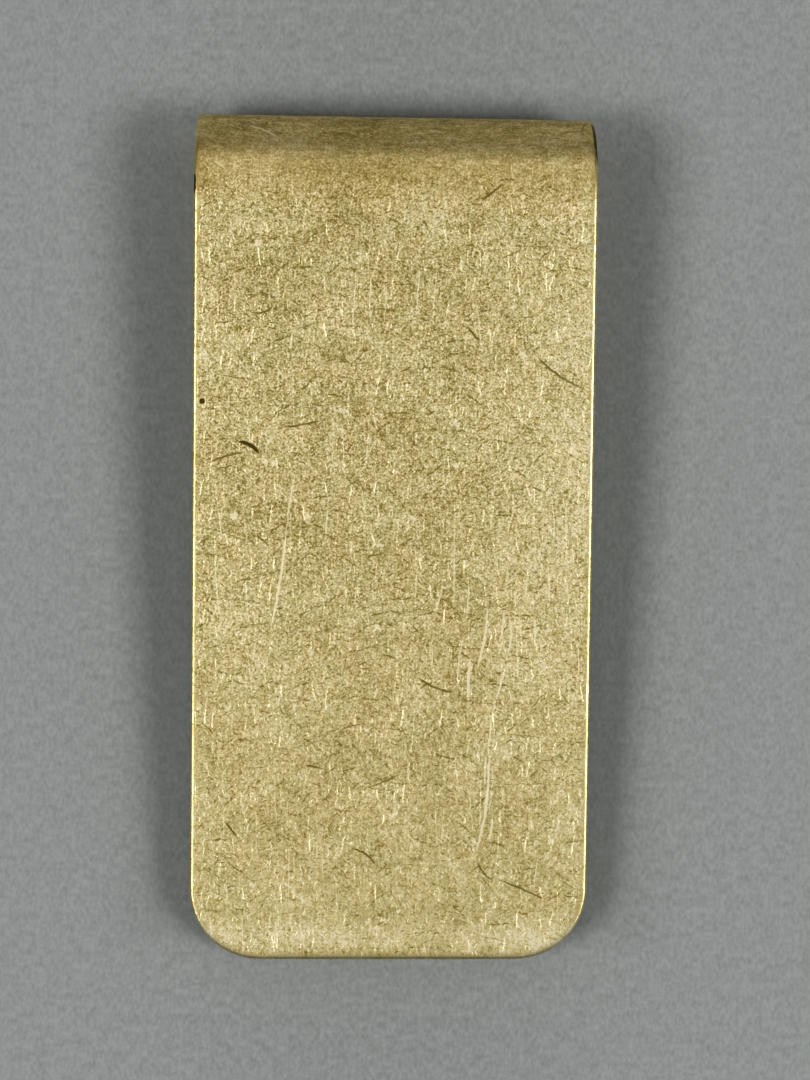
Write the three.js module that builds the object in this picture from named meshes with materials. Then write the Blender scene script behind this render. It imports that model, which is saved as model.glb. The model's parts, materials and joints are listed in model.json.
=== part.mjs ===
// A money clip: one strip of sheet brass, folded back on itself so that its two leaves spring
// together and pinch folded notes between them.
//
// Millimetres, +Z up. The clip lies on its back leaf, as it does on a table. X runs across the
// strip and +Y points at the fold. The origin is at table height, under the middle of the clip.
//
// The real clip is a single piece of metal. It is modelled as the stretches that its bends divide
// it into. They meet face to face, apart from one narrow slit at the crown of the fold: there the
// front half turns on the back half, in place of the metal's own flexing.

import * as THREE from "three";

const { sin, cos, PI } = Math;
const { degToRad } = THREE.MathUtils;

// Driving dimensions, in millimetres. Bend radii are those of the sheet's middle layer.
const STRIP_WIDTH = 25;
const SHEET = 1; // thickness of the brass
const CORNER_RADIUS = 4.5; // rounding of the strip's ends, seen from above
const FRONT_LENGTH = 47.4; // straight part of the front leaf
const FOLD_RADIUS = 3.5; // the fold itself
const EASE_RADIUS = 9.5; // the gentler curve from the fold into each leaf
const PINCH_RADIUS = 8; // the curve that turns the back leaf away from the front one
const LIP_SETBACK = 1; // how far the lip stops short of the front leaf's tip
const PINCH_GAP = 0.05; // between the closed leaves, where they touch
const CROWN_SLIT = 0.3; // room for the front half to turn

// Driving angles
const JAW_ANGLE = degToRad(9.2); // between the two leaves
const EASE_TURN = degToRad(14); // how much of each half of the fold is the gentler curve
const LIP_TURN = degToRad(8.3); // how far the lip turns past parallel with the front leaf

// How finely the curves are drawn, in flat pieces per arc
const BEND_STEPS = 20;
const CORNER_STEPS = 10;

// Worked out from the above. Heights are measured square to the front leaf, and runs along it.
const foldTurn = PI + JAW_ANGLE;
const foldHeight =
  EASE_RADIUS * (1 - cos(EASE_TURN)) +
  FOLD_RADIUS * (cos(EASE_TURN) - cos(foldTurn - EASE_TURN)) +
  EASE_RADIUS * (cos(foldTurn - EASE_TURN) - cos(foldTurn));
const foldRun =
  EASE_RADIUS * sin(EASE_TURN) +
  FOLD_RADIUS * (sin(foldTurn - EASE_TURN) - sin(EASE_TURN)) +
  EASE_RADIUS * (sin(foldTurn) - sin(foldTurn - EASE_TURN));
const pinchHeight = PINCH_RADIUS * (1 - cos(JAW_ANGLE));
const pinchRun = PINCH_RADIUS * (sin(JAW_ANGLE) + sin(LIP_TURN));
const backLength = (foldHeight - pinchHeight - SHEET - PINCH_GAP) / sin(JAW_ANGLE);
const backRun = backLength * cos(JAW_ANGLE);
const lipRun = FRONT_LENGTH - LIP_SETBACK + foldRun - backRun - pinchRun;
const lipLength = lipRun / cos(LIP_TURN);

// The brass is tumbled to a dull gold. Each stretch has a material of its own.
function brass() {
  return new THREE.MeshStandardMaterial({ color: 0xb7a064, metalness: 1, roughness: 0.45 });
}

function named(name, geometry) {
  const mesh = new THREE.Mesh(geometry, brass());
  mesh.name = name;
  return mesh;
}

// Each stretch is drawn in a frame of its own. The strip enters at the origin along +Y, and +Z is
// the side that faces out of the fold. Turns are positive where the strip curls into the fold.

// A flat stretch, with square ends
function plainStretch(name, length) {
  const plate = new THREE.BoxGeometry(STRIP_WIDTH, length, SHEET);
  plate.translate(0, length / 2, 0);
  return named(name, plate);
}

// A flat stretch that ends the strip, with rounded corners
function endStretch(name, length) {
  const side = STRIP_WIDTH / 2;
  const cornerX = side - CORNER_RADIUS;
  const cornerY = length - CORNER_RADIUS;
  const outline = new THREE.Shape();
  outline.moveTo(-side, 0);
  outline.lineTo(side, 0);
  outline.absarc(cornerX, cornerY, CORNER_RADIUS, 0, PI / 2);
  outline.absarc(-cornerX, cornerY, CORNER_RADIUS, PI / 2, PI);
  const plate = new THREE.ExtrudeGeometry(outline, {
    depth: SHEET,
    bevelEnabled: false,
    curveSegments: CORNER_STEPS,
  });
  plate.translate(0, 0, -SHEET / 2);
  return named(name, plate);
}

// A step square to the strip's middle layer, where the strip has turned by the given heading
function squareStep(heading, distance) {
  return new THREE.Vector2(distance * sin(heading), distance * cos(heading));
}

// A curved stretch, through a list of arcs that run smoothly into each other
function curvedStretch(name, arcs) {
  const outerFace = [];
  const innerFace = [];
  let middle = new THREE.Vector2();
  let startHeading = 0;
  for (const { radius, turn } of arcs) {
    const lever = radius * Math.sign(turn);
    const centre = squareStep(startHeading, -lever).add(middle);
    const firstStep = outerFace.length ? 1 : 0;
    for (let step = firstStep; step <= BEND_STEPS; step += 1) {
      const heading = startHeading + (turn * step) / BEND_STEPS;
      middle = squareStep(heading, lever).add(centre);
      outerFace.push(squareStep(heading, SHEET / 2).add(middle));
      innerFace.unshift(squareStep(heading, -SHEET / 2).add(middle));
    }
    startHeading += turn;
  }
  const section = new THREE.Shape([...outerFace, ...innerFace]);
  const bent = new THREE.ExtrudeGeometry(section, { depth: STRIP_WIDTH, bevelEnabled: false });
  bent.translate(0, 0, -STRIP_WIDTH / 2);
  const across = new THREE.Vector3(1, 0, 0);
  const along = new THREE.Vector3(0, 1, 0);
  const outwards = new THREE.Vector3(0, 0, 1);
  bent.applyMatrix4(new THREE.Matrix4().makeBasis(along, outwards, across));
  return named(name, bent);
}

// The frame at the far end of a flat stretch
function afterFlat(frame, length) {
  const end = new THREE.Group();
  end.position.y = length;
  frame.add(end);
  return end;
}

// The frame at the far end of an arc
function afterArc(frame, { radius, turn }) {
  const end = new THREE.Group();
  const lever = radius * Math.sign(turn);
  end.position.set(0, lever * sin(turn), lever * (cos(turn) - 1));
  end.rotation.x = -turn;
  frame.add(end);
  return end;
}

// Half of the fold, from its crown to the frame that the leaf starts in
function halfFold(name, crown) {
  const slit = { radius: FOLD_RADIUS, turn: CROWN_SLIT / 2 / FOLD_RADIUS };
  const tight = { radius: FOLD_RADIUS, turn: foldTurn / 2 - EASE_TURN - slit.turn };
  const ease = { radius: EASE_RADIUS, turn: EASE_TURN };
  const slitEdge = afterArc(crown, slit);
  slitEdge.add(curvedStretch(name, [tight, ease]));
  const easeStart = afterArc(slitEdge, tight);
  const leafStart = afterArc(easeStart, ease);
  return { easeStart, leafStart };
}

// The front half runs from the crown into a flat leaf.
function frontHalf(crown) {
  const { leafStart } = halfFold("fold_front_half", crown);
  leafStart.add(endStretch("front_leaf", FRONT_LENGTH));
}

// The back half runs from the crown into a shorter leaf, turns away from the front leaf along the
// ridge that pinches the notes, and ends in a lip that leads them in.
function backHalf(crown) {
  const { easeStart, leafStart } = halfFold("fold_back_half", crown);
  leafStart.add(plainStretch("back_leaf", backLength));
  const ridge = { radius: PINCH_RADIUS, turn: -(JAW_ANGLE + LIP_TURN) };
  const ridgeStart = afterFlat(leafStart, backLength);
  ridgeStart.add(curvedStretch("pinch_ridge", [ridge]));
  const lipStart = afterArc(ridgeStart, ridge);
  lipStart.add(endStretch("lead_in_lip", lipLength));
  return { easeStart, lipEnd: afterFlat(lipStart, lipLength) };
}

// Both halves start at the crown, which faces +Y. The strip leaves it downwards into the back half
// and upwards into the front half.
const clip = new THREE.Group();
const backCrown = new THREE.Group();
const frontCrown = new THREE.Group();
backCrown.rotation.set(-PI / 2, 0, 0);
frontCrown.rotation.set(PI / 2, PI, 0);
clip.add(backCrown, frontCrown);
frontHalf(frontCrown);
const { easeStart, lipEnd } = backHalf(backCrown);

// It rests on the table along two lines: the lip's outer edge and the underside of the fold.
clip.updateMatrixWorld(true);
const lipEdge = lipEnd.localToWorld(new THREE.Vector3(0, 0, SHEET / 2));
const easeCentre = easeStart.localToWorld(new THREE.Vector3(0, 0, -EASE_RADIUS));
const reach = easeCentre.sub(lipEdge);
const riseToCentre = Math.atan2(reach.z, reach.y);
const riseToTable = Math.asin((EASE_RADIUS + SHEET / 2) / reach.length());
clip.rotation.x = riseToTable - riseToCentre;

// Moves it to the origin.
const bounds = new THREE.Box3().setFromObject(clip, true);
clip.position.set(0, -(bounds.min.y + bounds.max.y) / 2, -bounds.min.z);

const moneyClip = new THREE.Group();
moneyClip.add(clip);

export default moneyClip;
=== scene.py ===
"""A tumbled brass money clip, seen from straight above on pale grey paper.

The clip is one strip of sheet brass. Each piece here is a length of that strip. It is drawn on the
flat blank, where a point is (across, along, height), and then bent along the strip's path. The
front leaf's tip is at along = 0, and height is positive on the face that ends up outside.
"""

import json
from math import atan2, cos, hypot, pi, radians, sin

import bpy
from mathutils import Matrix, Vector


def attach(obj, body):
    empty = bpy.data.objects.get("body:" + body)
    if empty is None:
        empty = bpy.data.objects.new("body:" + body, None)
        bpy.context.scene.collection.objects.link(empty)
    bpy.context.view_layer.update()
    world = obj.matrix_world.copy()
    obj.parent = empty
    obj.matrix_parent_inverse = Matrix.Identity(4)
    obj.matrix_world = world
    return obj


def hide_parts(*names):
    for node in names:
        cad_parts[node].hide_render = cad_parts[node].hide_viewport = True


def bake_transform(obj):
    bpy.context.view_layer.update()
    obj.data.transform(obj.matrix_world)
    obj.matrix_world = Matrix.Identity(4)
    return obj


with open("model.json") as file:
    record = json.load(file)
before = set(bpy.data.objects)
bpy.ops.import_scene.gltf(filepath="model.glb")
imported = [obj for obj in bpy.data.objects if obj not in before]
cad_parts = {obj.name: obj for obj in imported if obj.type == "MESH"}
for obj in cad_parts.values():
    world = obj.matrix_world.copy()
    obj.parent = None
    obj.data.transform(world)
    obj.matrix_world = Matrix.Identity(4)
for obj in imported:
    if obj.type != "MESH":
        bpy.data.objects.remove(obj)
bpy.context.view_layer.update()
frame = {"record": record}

MM = 0.001

# The strip, as it is in CAD
STRIP_WIDTH = 25 * MM
SHEET = 1 * MM
CORNER_RADIUS = 4.5 * MM
FRONT_LENGTH = 47.4 * MM
FOLD_RADIUS = 3.5 * MM
EASE_RADIUS = 9.5 * MM
PINCH_RADIUS = 8 * MM
LIP_SETBACK = 1 * MM
PINCH_GAP = 0.05 * MM
JAW_ANGLE = radians(9.2)
EASE_TURN = radians(14)
LIP_TURN = radians(8.3)

# The edge of the sheet. Shearing rolls the outer face down before the edge, and tumbling rounds it.
ROLL_WIDTH = 0.6 * MM
ROLL_DROP = 0.012 * MM
OUTER_ROUND = 0.2 * MM
INNER_ROUND = 0.12 * MM
EDGE_DRAW = (0.05 * MM, 0.3 * MM)  # how far the crown's outer face draws in, on the left and right
DRAW_REACH = 6 * MM
TIP_SKEW = 0.0117  # how far from square the tip is cut, as a slope
TIP_SKEW_REACH = 20 * MM
FOLD_SKEW = 0.0065  # and the fold is folded

# How finely the surface is drawn
ROW_LENGTH = 0.7 * MM
FOLD_ROW_LENGTH = 0.3 * MM
COLUMNS = 34
CORNER_ROWS = 14
ROLL_STEPS = 4
ROUND_STEPS = 5
SEAM_INSET = 0.5 * MM  # pieces meet this far into a flat, so that no curve starts at a seam

# The picture
CAMERA_HEIGHT = 250 * MM
CAMERA_OFFSET = (0.81 * MM, 0)
CAMERA_ROLL = radians(0.67)
LENS = 130.5
LIGHT_DISTANCE = 0.9
SOFT_BOX = (0.29, 4.15)  # size and power
CARD = (0.4, 0.66)
LEFT = (-0.68, -0.24)  # how far out a light stands, in X and Y, for each unit of height
RIGHT = (0.75, -0.24)
BACK = (0, 0.6)
WALL_LIGHT = 0.3
CEILING_LIGHT = 0.015


# The strip's path

def stretches():
    """The strip from the front leaf's tip to the lip: each stretch's name, length and turn."""
    full_turn = pi + JAW_ANGLE
    height = 0
    run = 0
    corners = (0, EASE_TURN, full_turn - EASE_TURN, full_turn)
    for radius, start, end in zip((EASE_RADIUS, FOLD_RADIUS, EASE_RADIUS), corners, corners[1:]):
        height += radius * (cos(start) - cos(end))
        run += radius * (sin(end) - sin(start))
    fold_turn = full_turn - 2 * EASE_TURN
    pinch_turn = JAW_ANGLE + LIP_TURN
    pinch_height = PINCH_RADIUS * (1 - cos(JAW_ANGLE))
    pinch_run = PINCH_RADIUS * (sin(JAW_ANGLE) + sin(LIP_TURN))
    back_length = (height - pinch_height - SHEET - PINCH_GAP) / sin(JAW_ANGLE)
    lip_run = FRONT_LENGTH - LIP_SETBACK + run - back_length * cos(JAW_ANGLE) - pinch_run
    return [
        ("front_leaf", FRONT_LENGTH, 0),
        ("front_ease", EASE_RADIUS * EASE_TURN, EASE_TURN),
        ("fold", FOLD_RADIUS * fold_turn, fold_turn),
        ("back_ease", EASE_RADIUS * EASE_TURN, EASE_TURN),
        ("back_leaf", back_length, 0),
        ("pinch_ridge", PINCH_RADIUS * pinch_turn, -pinch_turn),
        ("lead_in_lip", lip_run / cos(LIP_TURN), 0),
    ]


class Path:
    """The line that the sheet's middle layer follows, in the YZ plane."""

    def __init__(self):
        """Starts at the front leaf's tip, which the mount on the front face places."""
        face = next(m for m in frame["record"]["mounts"] if m["name"] == "front_face")
        outwards = Vector(face["axis"]).normalized()
        heading = atan2(-outwards.y, outwards.z)
        to_tip = Vector((0, -cos(heading), -sin(heading)))
        tip = Vector(face["pos_m"]) - outwards * SHEET / 2 + to_tip * FRONT_LENGTH / 2
        place = (tip.y, tip.z)
        self.length = 0
        self.starts = {}
        self.legs = []
        for name, length, turn in stretches():
            self.starts[name] = self.length
            self.legs.append((self.length, place, heading, -turn / length))
            place, heading = self.follow(self.legs[-1], length)
            self.length += length

    def follow(self, leg, run):
        """The place and the heading after a run along one leg."""
        _, (y, z), heading, bend = leg
        if bend == 0:
            return (y + run * cos(heading), z + run * sin(heading)), heading
        turned = heading + bend * run
        y += (sin(turned) - sin(heading)) / bend
        z += (cos(heading) - cos(turned)) / bend
        return (y, z), turned

    def at(self, along):
        """The place and the heading at a distance along the strip."""
        leg = self.legs[0]
        for later in self.legs[1:]:
            if later[0] <= along:
                leg = later
        return self.follow(leg, along - leg[0])


path = Path()


def bump_at(value, centre, reach):
    """A smooth bump of height 1 at a centre, which fades out over a reach on either side."""
    return cos(min(abs(value - centre) / reach, 1) * pi / 2) ** 2


def relief(across, along):
    """The slight unevenness of a sheet that was worked by hand, as a height."""
    x = across / MM
    y = along / MM
    broad = sin(0.23 * x + 0.11 * y + 0.6) + sin(0.31 * x - 0.17 * y + 2.1)
    close = sin(0.53 * x + 0.37 * y + 1.3) * sin(0.19 * x - 0.41 * y + 0.2)
    return (0.005 * broad + 0.003 * close) * MM


def bent(across, along, height):
    """Where a point of the flat blank ends up."""
    crown = (path.starts["fold"] + path.starts["back_ease"]) / 2
    at_fold = bump_at(along, crown, crown - path.starts["front_ease"] + EASE_RADIUS / 2)
    drawn = bump_at(along, crown, DRAW_REACH) * max(height / (SHEET / 2), 0)
    drawn *= (abs(across) / (STRIP_WIDTH / 2)) ** 8
    across += -EDGE_DRAW[1] * drawn if across > 0 else EDGE_DRAW[0] * drawn
    height += relief(across, along)
    along += TIP_SKEW * across * bump_at(along, 0, TIP_SKEW_REACH)
    (y, z), heading = path.at(along)
    y -= FOLD_SKEW * across * at_fold
    return (across, y - height * sin(heading), z + height * cos(heading))


# The sheet's pieces

def rim_profile():
    """The section of the sheet's edge, from the outer face to the inner: (inset, height) pairs."""
    points = []
    for step in range(ROLL_STEPS):
        share = step / ROLL_STEPS
        inset = ROLL_WIDTH + (OUTER_ROUND - ROLL_WIDTH) * share
        points.append((inset, SHEET / 2 - ROLL_DROP * share**2))
    for step in range(ROUND_STEPS + 1):
        angle = pi / 2 * step / ROUND_STEPS
        sunk = ROLL_DROP + OUTER_ROUND * (1 - cos(angle))
        points.append((OUTER_ROUND * (1 - sin(angle)), SHEET / 2 - sunk))
    for step in range(ROUND_STEPS + 1):
        angle = pi / 2 * step / ROUND_STEPS
        risen = INNER_ROUND * (1 - sin(angle))
        points.append((INNER_ROUND * (1 - cos(angle)), risen - SHEET / 2))
    return points


def blank_rows(first, last, row_length, round_first=False, round_last=False):
    """The rows of a piece's grid. Each is given by where its right end is: a turn about a corner's
    middle. On the straight sides the corner has no radius. A rounded end's rows run round its
    corners to the end's straight edge, a quarter turn away.
    """
    side = STRIP_WIDTH / 2
    corner = side - CORNER_RADIUS
    rows = []
    if round_first:
        first += CORNER_RADIUS
        for step in range(CORNER_ROWS):
            angle = -pi / 2 * (1 - step / CORNER_ROWS)
            rows.append((corner, first, CORNER_RADIUS, angle))
    if round_last:
        last -= CORNER_RADIUS
    count = round((last - first) / row_length)
    for step in range(count + 1):
        rows.append((side, first + (last - first) * step / count, 0, 0))
    if round_last:
        for step in range(CORNER_ROWS):
            angle = pi / 2 * (step + 1) / CORNER_ROWS
            rows.append((corner, last, CORNER_RADIUS, angle))
    return rows


def grid_border(row_count):
    """The cells of a grid's border in order, once round: (row, column) pairs."""
    last = row_count - 1
    right = [(row, COLUMNS) for row in range(last)]
    end = [(last, column) for column in range(COLUMNS, 0, -1)]
    left = [(row, 0) for row in range(last, 0, -1)]
    start = [(0, column) for column in range(COLUMNS)]
    return right + end + left + start


def sheet_piece(name, rows):
    """One length of the strip, as a closed mesh of quads.

    Both faces are grids, joined round the border by the levels of the rim. At an end that isn't
    rounded the rim is flat, and meets the next piece.
    """
    profile = rim_profile()
    inner = len(profile) - 1
    blank = []
    index = {}

    def point(level, cell):
        if (level, cell) not in index:
            inset, height = profile[level]
            row, column = cell
            middle, along, radius, angle = rows[row]
            reach = radius - inset
            right = middle + reach * cos(angle)
            share = 2 * column / COLUMNS - 1
            index[level, cell] = len(blank)
            blank.append((right * share, along + reach * sin(angle), height))
        return index[level, cell]

    faces = []
    for row in range(len(rows) - 1):
        for column in range(COLUMNS):
            cells = ((row, column), (row, column + 1), (row + 1, column + 1), (row + 1, column))
            faces.append([point(0, cell) for cell in cells])
            faces.append([point(inner, cell) for cell in reversed(cells)])
    border = grid_border(len(rows))
    for level in range(inner):
        for here, there in zip(border, border[1:] + border[:1]):
            corners = ((level, here), (level + 1, here), (level + 1, there), (level, there))
            faces.append([point(*corner) for corner in corners])

    mesh = bpy.data.meshes.new(name)
    mesh.from_pydata([bent(*place) for place in blank], [], faces)
    mesh.shade_smooth()
    mesh.set_sharp_from_angle(angle=radians(50))
    in_mm = [value / MM for place in blank for value in place]
    mesh.attributes.new("blank_mm", "FLOAT_VECTOR", "POINT").data.foreach_set("vector", in_mm)
    mesh.materials.append(brass)
    piece = bpy.data.objects.new(name, mesh)
    bpy.context.scene.collection.objects.link(piece)
    return piece


def front_leaf():
    """The flat leaf that shows, with its rounded tip"""
    last = path.starts["front_ease"] - SEAM_INSET
    piece = sheet_piece("front_leaf_plate", blank_rows(0, last, ROW_LENGTH, round_first=True))
    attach(piece, "front_half")
    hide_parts("front_leaf")


def fold():
    """The spring fold, from one leaf to the other."""
    first = path.starts["front_ease"] - SEAM_INSET
    last = path.starts["back_leaf"] + SEAM_INSET
    piece = sheet_piece("spring_fold", blank_rows(first, last, FOLD_ROW_LENGTH))
    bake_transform(piece)
    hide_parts("fold_front_half", "fold_back_half")


def back_leaf():
    """The flat leaf underneath"""
    first = path.starts["back_leaf"] + SEAM_INSET
    last = path.starts["pinch_ridge"] - SEAM_INSET
    piece = sheet_piece("back_leaf_plate", blank_rows(first, last, ROW_LENGTH))
    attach(piece, "back_half")
    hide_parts("back_leaf")


def pinch_ridge():
    """The curve that touches the front leaf and turns the lip away from it"""
    first = path.starts["pinch_ridge"] - SEAM_INSET
    last = path.starts["lead_in_lip"] + SEAM_INSET
    piece = sheet_piece("pinch_ridge_plate", blank_rows(first, last, FOLD_ROW_LENGTH))
    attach(piece, "back_half")
    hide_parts("pinch_ridge")


def lead_in_lip():
    """The flared end, with its rounded tip"""
    first = path.starts["lead_in_lip"] + SEAM_INSET
    rows = blank_rows(first, path.length, ROW_LENGTH, round_last=True)
    piece = sheet_piece("lead_in_lip_plate", rows)
    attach(piece, "back_half")
    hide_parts("lead_in_lip")


# Materials

class Nodes:
    """Short ways to add nodes to a material. A socket, a number or a colour goes into any input."""

    def __init__(self, material):
        material.use_nodes = True
        self.tree = material.node_tree
        self.tree.nodes.clear()

    def add(self, kind, inputs=None, **settings):
        """Adds a node, and fills the inputs given by name or number."""
        node = self.tree.nodes.new(kind)
        for name, value in settings.items():
            setattr(node, name, value)
        for name, value in (inputs or {}).items():
            if isinstance(value, bpy.types.NodeSocket):
                self.tree.links.new(value, node.inputs[name])
            else:
                node.inputs[name].default_value = value
        return node

    def math(self, operation, *values, clamp=False):
        """The result of a sum on one, two or three values"""
        inputs = dict(enumerate(values))
        return self.add("ShaderNodeMath", inputs, operation=operation, use_clamp=clamp).outputs[0]

    def vector(self, operation, *values):
        """The result of a sum on vectors"""
        inputs = dict(enumerate(values))
        node = self.add("ShaderNodeVectorMath", inputs, operation=operation)
        return node.outputs["Value" if operation in ("LENGTH", "DOT_PRODUCT") else "Vector"]

    def separate(self, vector):
        """The X, Y and Z of a vector"""
        return self.add("ShaderNodeSeparateXYZ", {0: vector}).outputs

    def ramp(self, value, low, high, out_low=0.0, out_high=1.0):
        """Turns a value's range into another, smoothly, and holds it outside that range"""
        inputs = {0: value, 1: low, 2: high, 3: out_low, 4: out_high}
        node = self.add("ShaderNodeMapRange", inputs, interpolation_type="SMOOTHSTEP")
        return node.outputs[0]

    def noise(self, place, size, detail=2.0, roughness=0.5, stretch=(1, 1, 1)):
        """Smooth noise with features of about a size, drawn out along an axis by its stretch"""
        scaled = self.vector("DIVIDE", place, stretch)
        inputs = {"Vector": scaled, "Scale": 1 / size, "Detail": detail, "Roughness": roughness}
        return self.add("ShaderNodeTexNoise", inputs).outputs["Fac"]

    def mix(self, share, first, second):
        """A colour between two"""
        node = self.add("ShaderNodeMix", {"Factor": share, "A": first, "B": second}, data_type="RGBA")
        return node.outputs["Result"]


def strokes(nodes, place, cell, length, width, lean=0.0, spread=pi, curl=0.0, rarity=1.0, seed=0):
    """Where short scratches are, from 0 to 1: one in each cell of a loose pattern.

    A cell is (across, along). The scratches lie up to half the spread from the lean, which is
    measured from across the strip. Curl bows them either way, and rarity makes most of them faint.
    """
    size = (*cell, 1)
    moved = nodes.vector("ADD", nodes.vector("DIVIDE", place, size), (7.3 * seed, 3.1 * seed, 0))
    cells = nodes.add("ShaderNodeTexVoronoi", {"Vector": moved, "Scale": 1}, voronoi_dimensions="2D")
    chance = nodes.add("ShaderNodeSeparateColor", {0: cells.outputs["Color"]}).outputs
    offset = nodes.vector("SUBTRACT", moved, cells.outputs["Position"])
    offset = nodes.vector("MULTIPLY", offset, size)
    angle = nodes.math("MULTIPLY_ADD", chance["Red"], -spread, spread / 2 - lean)
    turned = nodes.add("ShaderNodeVectorRotate", {"Vector": offset, "Angle": angle},
                       rotation_type="Z_AXIS").outputs[0]
    ahead, beside, _ = nodes.separate(turned)
    bow = nodes.math("MULTIPLY_ADD", chance["Blue"], 2 * curl, -curl)
    beside = nodes.math("MULTIPLY_ADD", nodes.math("MULTIPLY", ahead, ahead), bow, beside)
    thin = nodes.ramp(nodes.math("ABSOLUTE", beside), 0, width / 2, 1, 0)
    reach = nodes.ramp(chance["Blue"], 0, 1, length / 4, length / 2)
    ahead = nodes.math("DIVIDE", nodes.math("ABSOLUTE", ahead), reach)
    short = nodes.ramp(ahead, 0.5, 1, 1, 0)
    strength = nodes.math("POWER", chance["Green"], rarity)
    return nodes.math("MULTIPLY", nodes.math("MULTIPLY", thin, short), strength)


def scratch(nodes, place, start, end, bow, width):
    """Where one scratch is, from 0 to 1. Its middle stands off its chord, to the left, by bow."""
    chord = (end[0] - start[0], end[1] - start[1])
    length = hypot(*chord)
    middle_x = (start[0] + end[0]) / 2 - bow * chord[1] / length
    middle_y = (start[1] + end[1]) / 2 + bow * chord[0] / length
    local = nodes.add("ShaderNodeMapping", {
        "Vector": place,
        "Location": (middle_x, middle_y, 0),
        "Rotation": (0, 0, atan2(chord[1], chord[0])),
        "Scale": (length / 2, width / 2, 1),
    }, vector_type="TEXTURE").outputs[0]
    ahead, beside, _ = nodes.separate(local)
    ahead = nodes.math("MULTIPLY", ahead, ahead)
    beside = nodes.math("MULTIPLY_ADD", ahead, 2 * bow / width, beside)
    beside = nodes.math("MULTIPLY", beside, beside)
    away = nodes.math("MULTIPLY_ADD", ahead, ahead, beside)
    return nodes.ramp(away, 0, 1, 1, 0)


def mixed(nodes, start, parts):
    """A starting value plus the sum of (value, weight) pairs"""
    total = start
    for value, weight in parts:
        total = nodes.math("MULTIPLY_ADD", value, weight, total)
    return total


# The brass from its darkest pits to its brightest glints
BRASS_TONES = (
    (0.00, (0.210, 0.150, 0.026)),
    (0.25, (0.375, 0.290, 0.092)),
    (0.50, (0.540, 0.440, 0.182)),
    (0.75, (0.720, 0.605, 0.295)),
    (1.00, (0.930, 0.820, 0.530)),
)
# The fold's warmer hue, made lighter as painted light
FOLD_HUE_AND_LIGHT = (1.15, 1.06, 0.84, 1)

# The scratches that stand out: each one's start and end on the blank, how far it bows, its width,
# and how much lighter or darker it is. Lengths are in millimetres. The lighter ones are partly
# painted glints, as a groove along the strip would catch the side lamps. The last two are not
# scratches but painted shade along the fold's edges.
SCRATCHES_AND_PAINTED_LIGHT = (
    ((6.0, 22.7), (5.3, 18.3), 0.20, 0.20, 0.9),
    ((5.0, 19.4), (4.9, 16.6), -0.05, 0.24, 0.9),
    ((4.8, 24.0), (4.7, 21.7), 0.05, 0.16, 0.6),
    ((4.6, 20.8), (4.2, 17.2), -0.14, 0.16, 0.5),
    ((3.9, 28.8), (3.9, 22.0), 0.00, 0.15, 0.5),
    ((3.2, 24.0), (2.7, 22.1), 0.07, 0.18, 0.6),
    ((7.0, 22.4), (6.8, 20.3), 0.10, 0.18, 0.7),
    ((7.4, 22.1), (7.3, 19.3), 0.15, 0.18, 0.7),
    ((7.2, 18.8), (6.6, 16.6), 0.03, 0.18, 0.7),
    ((6.6, 16.7), (6.2, 12.9), -0.10, 0.15, 0.5),
    ((6.2, 13.5), (5.4, 6.6), 0.32, 0.20, 0.9),
    ((6.0, 13.3), (6.0, 11.1), 0.00, 0.18, 0.6),
    ((6.5, 9.3), (6.3, 7.6), 0.05, 0.20, 0.7),
    ((2.6, 20.3), (2.6, 18.4), 0.00, 0.16, 0.5),
    ((9.0, 22.1), (9.0, 19.9), 0.00, 0.16, 0.5),
    ((-6.0, 31.0), (-6.6, 26.8), -0.10, 0.15, 0.6),
    ((-6.6, 27.5), (-7.6, 20.6), 0.14, 0.20, 0.9),
    ((-4.0, 28.7), (-4.1, 26.8), -0.05, 0.16, 0.6),
    ((-6.3, 39.6), (-6.5, 38.4), 0.00, 0.18, 0.6),
    ((-9.3, 52.4), (-7.2, 51.3), 0.10, 0.20, 0.6),
    ((-11.3, 49.9), (-10.6, 49.5), 0.00, 0.20, 0.6),
    ((-9.7, 32.7), (-8.3, 31.9), 0.22, 0.32, -1.4),
    ((-11.7, 31.3), (-9.1, 32.1), 0.08, 0.18, -0.5),
    ((-12.1, 35.2), (-11.7, 35.2), 0.00, 0.40, -1.4),
    ((-7.1, 33.6), (-4.4, 34.1), -0.06, 0.18, -0.6),
    ((1.6, 18.1), (4.1, 17.1), -0.22, 0.22, -0.6),
    ((5.6, 6.4), (6.6, 5.1), -0.17, 0.20, -0.6),
    ((6.8, 5.2), (10.1, 3.8), 0.04, 0.18, -0.6),
    ((8.6, 38.5), (12.2, 36.1), -0.30, 0.18, -0.6),
    ((4.4, 40.1), (5.4, 39.0), 0.00, 0.20, -0.6),
    ((-9.0, 40.8), (-7.4, 41.3), -0.30, 0.18, -0.5),
    ((-0.7, 34.5), (1.2, 34.6), 0.05, 0.16, -0.5),
    ((8.6, 30.1), (9.4, 29.8), 0.00, 0.20, -0.6),
    ((-1.4, 11.0), (0.7, 11.9), -0.07, 0.16, -0.5),
    ((-2.5, 7.2), (-0.8, 6.1), 0.21, 0.18, -0.6),
    ((-5.3, 12.4), (-4.2, 12.2), 0.00, 0.18, -0.6),
    ((-10.4, 8.9), (-9.4, 7.7), 0.00, 0.18, -0.6),
    ((5.2, 47.7), (6.7, 48.9), 0.00, 0.20, -0.6),
    ((10.0, 52.0), (11.7, 52.3), 0.08, 0.18, -0.5),
    ((11.6, 52.2), (12.2, 53.6), 0.10, 0.18, -0.5),
    # painted shade along the fold's right edge
    ((12.5, 49.8), (12.4, 53.6), 0.00, 0.25, -1.0),
    # painted shadow under the fold's left corner
    ((-12.5, 47.9), (-12.5, 49.2), 0.00, 0.35, -1.4),
)


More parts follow.
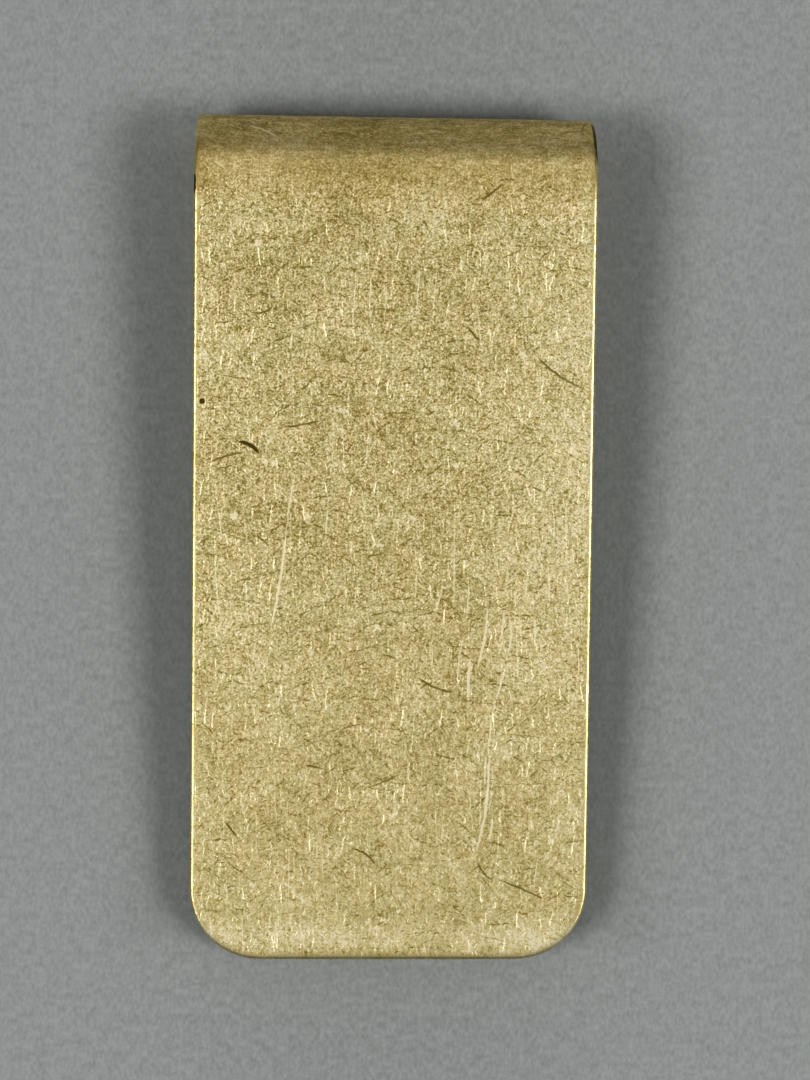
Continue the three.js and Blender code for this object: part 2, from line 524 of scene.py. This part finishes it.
def tones(nodes, value, stops):
    """A colour from a scale of (value, colour) stops"""
    node = nodes.add("ShaderNodeValToRGB", {"Fac": value})
    scale = node.color_ramp.elements
    for place, colour in stops[1:-1]:
        scale.new(place)
    for element, (place, colour) in zip(scale, stops):
        element.position = place
        element.color = (*colour, 1)
    return node.outputs["Color"]


def from_edge(nodes, across, along):
    """How far a point of the blank is from the sheet's edge, in millimetres"""
    corner = CORNER_RADIUS / MM
    half_width = STRIP_WIDTH / 2 / MM
    half_length = path.length / 2 / MM
    from_middle = nodes.math("SUBTRACT", along, half_length)
    squares = 0
    for value, half in ((across, half_width), (from_middle, half_length)):
        inwards = nodes.math("ADD", nodes.math("ABSOLUTE", value), corner - half)
        beyond = nodes.math("MAXIMUM", inwards, 0)
        squares = nodes.math("MULTIPLY_ADD", beyond, beyond, squares)
    return nodes.math("SUBTRACT", corner, nodes.math("SQRT", squares))


def wobbled(nodes, place):
    """The blank, wobbled a little, so that a scratch drawn on it isn't quite even"""
    wobble = nodes.add("ShaderNodeTexNoise", {"Vector": place, "Scale": 1 / 0.5, "Detail": 2})
    wobble = nodes.vector("SUBTRACT", wobble.outputs["Color"], (0.5, 0.5, 0.5))
    return nodes.vector("MULTIPLY_ADD", wobble, (0.35, 0.35, 0), place)


def tumbling_marks(nodes, place, wavy, gently_wavy):
    """The nicks, hairs and dents all over the sheet: how light they are, and how high they stand"""
    lengthways = pi / 2
    light_nicks = strokes(nodes, wavy, (0.24, 0.45), 0.55, 0.11, lean=lengthways, spread=2, seed=1)
    dark_nicks = strokes(nodes, wavy, (0.5, 0.3), 0.6, 0.12, spread=2.4, curl=0.4, seed=2)
    light_hairs = strokes(nodes, gently_wavy, (0.6, 1.6), 1.7, 0.13, lean=lengthways, spread=0.5,
                          curl=0.1, rarity=2.5, seed=3)
    dark_hairs = strokes(nodes, wavy, (1.6, 0.9), 1.8, 0.16, spread=1.8, curl=0.12, rarity=2, seed=4)
    dents = strokes(nodes, wavy, (1.7, 1.7), 0.6, 0.5, rarity=8, seed=5)
    long_lights = strokes(nodes, gently_wavy, (1.0, 4.5), 5, 0.12, lean=lengthways, spread=0.25,
                          curl=0.02, rarity=1.5, seed=6)
    gathered = nodes.ramp(nodes.noise(place, 9, detail=1), 0.42, 0.6, 0.35, 1.3)
    long_lights = nodes.math("MULTIPLY", long_lights, gathered)
    long_darks = strokes(nodes, wavy, (3.6, 1.4), 4, 0.1, spread=1.0, curl=0.06, rarity=2, seed=7)
    # The lengthwise light strokes are partly lighter polished metal, partly painted glints of the side
    # lamps
    lightness = mixed(nodes, 0, [
        (light_nicks, 0.5), (dark_nicks, -0.6), (light_hairs, 0.55), (dark_hairs, -0.7),
        (dents, 0.8), (long_lights, 0.7), (long_darks, -0.6),
    ])
    relief_height = mixed(nodes, 0, [
        (light_nicks, -0.5), (dark_nicks, -0.3), (light_hairs, -0.7), (dark_hairs, -0.3),
    ])
    return lightness, relief_height


def fold_dashes(nodes, place, wavy):
    """The dashes across the strip, where the fold was rubbed: how light they are"""
    dashes = nodes.noise(place, 0.13, detail=1, stretch=(2, 1, 1))
    long_dashes = nodes.noise(place, 0.3, detail=1, stretch=(3.5, 1, 1))
    glints = strokes(nodes, wavy, (1.2, 0.5), 1.0, 0.12, spread=0.9, rarity=3, seed=8)
    return mixed(nodes, -0.5 * (1.0 + 0.8), [(dashes, 1.0), (long_dashes, 0.8), (glints, 0.6)])


def placed_marks_and_light(nodes, place, outside):
    """The listed marks on the outer face, how light they are: scratches, partly painted glints, and painted
    shade along the fold's edges
    """
    total = 0
    for *shape, strength in SCRATCHES_AND_PAINTED_LIGHT:
        total = nodes.math("MULTIPLY_ADD", scratch(nodes, place, *shape), strength, total)
    return nodes.math("MULTIPLY", total, outside)


def painted_light_and_side_tone(nodes, across, from_end, from_crown, in_fold):
    """How much lighter the sheet is painted: painted highlights at the tip and on the fold's shoulder,
    painted light over the fold and growing towards the tip, and lighter towards the sides, the right more
    than the left
    """
    # painted highlight near the tip, in place of light from the front
    inside_rim = nodes.ramp(from_end, 0.5, 1.2, 0.05, 1)
    painted_tip_highlight = nodes.math("MULTIPLY", inside_rim, nodes.ramp(from_end, 1.5, 2.8, 1, 0))
    # painted highlight on the fold's shoulder, in place of light from behind the clip
    past_crown = nodes.ramp(from_crown, 1.4, 3.2)
    shoulder = nodes.math("MULTIPLY", past_crown, nodes.ramp(from_crown, 4, 6.1, 1, 0))
    # painted light that grows towards the tip
    painted_light_towards_tip = nodes.ramp(from_end, 2, 46, 1, 0)
    # lighter towards the right side, and a little towards the left
    left_side = nodes.ramp(across, -11.5, -4, 0.06, 0)
    sides = nodes.ramp(across, 3, 11.5, left_side, 0.21)
    sides = nodes.math("MULTIPLY", sides, nodes.ramp(from_end, 15, 35, 0.3, 1))
    sides = nodes.math("MULTIPLY", sides, nodes.math("SUBTRACT", 1, in_fold))
    # the fold's share is painted light over the whole fold
    return mixed(nodes, 0, [
        (painted_tip_highlight, 0.22), (shoulder, 0.17), (in_fold, 0.08), (painted_light_towards_tip, 0.08), (sides, 1.0),
    ])


def tint_and_fold_light(nodes, place, from_crown):
    """What the brass's tone is multiplied by: a faint patchy hue, and over the fold a warmer hue that is
    also made lighter, as painted light
    """
    patches = nodes.ramp(nodes.noise(place, 1.5, detail=2, roughness=0.6), 0.35, 0.65)
    patches = nodes.mix(patches, (0.985, 1.012, 1.02, 1), (1.015, 0.998, 0.99, 1))
    # painted light: the fold is lightened, and warmed
    fold_hue_and_light = nodes.ramp(from_crown, 3.7, 8.2, 1, 0)
    return nodes.vector("MULTIPLY", patches, nodes.mix(fold_hue_and_light, (1, 1, 1, 1), FOLD_HUE_AND_LIGHT))


def make_brass():
    """Brass tumbled to a dull gold: fine scratches every way, with soft streaks along the strip"""
    material = bpy.data.materials.new("tumbled_brass")
    nodes = Nodes(material)
    place = nodes.add("ShaderNodeAttribute", attribute_name="blank_mm").outputs["Vector"]
    across, along, height = nodes.separate(place)
    crown = (path.starts["fold"] + path.starts["back_ease"]) / 2 / MM
    from_crown = nodes.math("ABSOLUTE", nodes.math("SUBTRACT", along, crown))
    from_end = nodes.math("MINIMUM", along, nodes.math("SUBTRACT", path.length / MM, along))
    in_fold = nodes.ramp(from_crown, 3.2, 7.2, 1, 0)
    on_leaf = nodes.math("SUBTRACT", 1, in_fold)
    on_face = nodes.ramp(nodes.math("ABSOLUTE", height), 0.3, 0.45)
    rubbed = nodes.ramp(from_edge(nodes, across, along), 0.1, 0.6, 1, 0)
    wavy = wobbled(nodes, place)
    gently_wavy = nodes.mix(0.5, place, wavy)

    grain = nodes.math("SUBTRACT", nodes.noise(place, 0.12, detail=1, roughness=0.6), 0.5)
    grain = nodes.math("MULTIPLY", grain, nodes.ramp(from_end, 3, 34, 0.55, 1))
    speckle = nodes.noise(place, 0.22, detail=2, roughness=0.6, stretch=(1, 1.3, 1))
    streak = nodes.noise(place, 0.13, detail=2, stretch=(1, 8, 1))
    worms = nodes.math("SUBTRACT", nodes.noise(wavy, 0.3, detail=0), 0.5)
    worms = nodes.ramp(nodes.math("ABSOLUTE", worms), 0, 0.08, 1, 0)
    marks, mark_height = tumbling_marks(nodes, place, wavy, gently_wavy)

    fine = mixed(nodes, 0.1 - 0.5 * (1.1 + 0.5), [
        (grain, 1.9), (speckle, 1.1), (streak, 0.5), (worms, -0.25), (marks, on_face),
    ])
    fine = nodes.math("MULTIPLY", fine, nodes.ramp(from_end, 2, 28, 0.85, 1))
    fold_fine = mixed(nodes, -0.05 - 0.5 * 0.4, [
        (grain, 1.0), (speckle, 0.4), (fold_dashes(nodes, place, wavy), 1.0),
    ])
    fine = mixed(nodes, 0, [(fine, on_leaf), (fold_fine, in_fold)])
    # the listed scratches, partly painted glints, and painted shade along the fold's edges
    scratches = placed_marks_and_light(nodes, gently_wavy, nodes.ramp(height, 0, 0.4))
    under_listed_marks = nodes.math("MULTIPLY", nodes.math("ABSOLUTE", scratches), 1.5, clamp=True)
    fine = nodes.math("MULTIPLY", fine, nodes.math("SUBTRACT", 1, under_listed_marks))
    fine = nodes.math("MULTIPLY", fine, nodes.ramp(rubbed, 0, 1, 1, 0.5))

    blotch = nodes.noise(place, 0.8, detail=2, roughness=0.6)
    cloud = nodes.noise(place, 6, detail=2, roughness=0.6)
    # The tone takes in painted light: highlights at the tip and on the fold's shoulder, and light over the
    # fold
    tone = mixed(nodes, 0.435 - 0.5 * (0.6 + 0.6), [
        (fine, 1.0), (blotch, 0.6), (cloud, 0.6), (scratches, 0.85),
        (painted_light_and_side_tone(nodes, across, from_end, from_crown, in_fold), 1.0),
    ])
    colour = nodes.vector("MULTIPLY", tones(nodes, tone, BRASS_TONES), tint_and_fold_light(nodes, place, from_crown))
    # darker still under the dark marks, and under the painted shade along the fold's edges
    dark_marks_and_shade = nodes.ramp(scratches, -1, -0.3, 0.3, 1)
    colour = nodes.vector("MULTIPLY", colour, dark_marks_and_shade)
    uneven = mixed(nodes, 0, [
        (grain, 0.8), (speckle, 0.8), (worms, -0.2), (mark_height, on_face),
    ])
    bumped = nodes.add("ShaderNodeBump", {
        "Height": uneven,
        "Distance": 0.0105 * MM,
        "Strength": nodes.ramp(rubbed, 0, 1, 1, 0.4),
    })
    surface = nodes.add("ShaderNodeBsdfPrincipled", {
        "Base Color": colour,
        "Roughness": nodes.math("MULTIPLY_ADD", rubbed, -0.12, nodes.ramp(tone, 0, 1, 0.56, 0.46)),
        "Normal": bumped.outputs[0],
        "Metallic": 1.0,
    })
    nodes.add("ShaderNodeOutputMaterial", {"Surface": surface.outputs[0]})
    return material


def make_paper():
    """Pale grey paper, faintly mottled, with painted shade that darkens it around the clip and a painted
    shadow along the clip's sides
    """
    material = bpy.data.materials.new("grey_paper")
    nodes = Nodes(material)
    place = nodes.vector("DIVIDE", nodes.add("ShaderNodeTexCoord").outputs["Object"], (MM, MM, MM))
    fibre = nodes.noise(place, 0.25, detail=2, roughness=0.6, stretch=(1, 1.6, 1))
    mottle = nodes.noise(place, 0.8, detail=2)
    from_clip = nodes.vector("LENGTH", nodes.vector("DIVIDE", place, (1, 2, 1)))
    # painted shade: the paper is darker near the clip and lighter away from it
    away = nodes.ramp(from_clip, 10, 26)
    tone = mixed(nodes, 0.25 - 0.5 * (2.1 + 1.15), [(fibre, 2.1), (mottle, 1.15), (away, 0.45)])
    colour = nodes.mix(tone, (0.218, 0.232, 0.222, 1), (0.315, 0.332, 0.322, 1))
    across, along, _ = nodes.separate(nodes.vector("ABSOLUTE", place))
    # painted shadow along the clip's sides
    beside = nodes.math("MULTIPLY", nodes.ramp(across, 14, 19, 1, 0), nodes.ramp(along, 24, 27, 1, 0))
    colour = nodes.vector("MULTIPLY", colour, nodes.math("MULTIPLY_ADD", beside, -0.16, 1))
    surface = nodes.add("ShaderNodeBsdfPrincipled", {"Base Color": colour, "Roughness": 0.9})
    nodes.add("ShaderNodeOutputMaterial", {"Surface": surface.outputs[0]})
    return material


# The studio

def add_camera():
    """Looks straight down, turned a little on its axis"""
    camera = bpy.data.objects.new("camera", bpy.data.cameras.new("camera"))
    camera.data.lens = LENS
    camera.data.sensor_fit = "VERTICAL"
    camera.data.sensor_height = 36
    camera.data.clip_start = 0.01
    camera.location = (*CAMERA_OFFSET, CAMERA_HEIGHT)
    camera.rotation_euler = (0, 0, CAMERA_ROLL)
    bpy.context.scene.collection.objects.link(camera)
    bpy.context.scene.camera = camera


def add_light(name, lean, size, power):
    """A square light that faces the clip"""
    light = bpy.data.lights.new(name, "AREA")
    light.size = size
    light.energy = power
    lamp = bpy.data.objects.new(name, light)
    towards = Vector((*lean, 1)).normalized()
    lamp.location = towards * LIGHT_DISTANCE
    lamp.rotation_euler = towards.to_track_quat("Z", "Y").to_euler()
    bpy.context.scene.collection.objects.link(lamp)


def add_floor():
    """The paper that the clip lies on"""
    half = 0.45
    mesh = bpy.data.meshes.new("paper_floor")
    corners = [(-half, -half, 0), (half, -half, 0), (half, half, 0), (-half, half, 0)]
    mesh.from_pydata(corners, [], [(0, 1, 2, 3)])
    mesh.materials.append(make_paper())
    floor = bpy.data.objects.new("paper_floor", mesh)
    floor.location.z = -0.02 * MM
    bpy.context.scene.collection.objects.link(floor)


def add_world():
    """A dark ceiling and dim walls"""
    world = bpy.data.worlds.new("room")
    nodes = Nodes(world)
    towards = nodes.add("ShaderNodeTexCoord").outputs["Generated"]
    brightness = nodes.ramp(nodes.separate(towards)["Z"], 0.1, 0.5, WALL_LIGHT, CEILING_LIGHT)
    light = nodes.add("ShaderNodeBackground", {"Color": brightness})
    nodes.add("ShaderNodeOutputWorld", {"Surface": light.outputs[0]})
    bpy.context.scene.world = world
    bpy.context.scene.view_settings.view_transform = "Standard"


brass = make_brass()
front_leaf()
fold()
back_leaf()
pinch_ridge()
lead_in_lip()
add_camera()
add_light("left_soft_box", LEFT, *SOFT_BOX)
add_light("right_soft_box", RIGHT, *SOFT_BOX)
add_light("back_card", BACK, *CARD)
add_floor()
add_world()
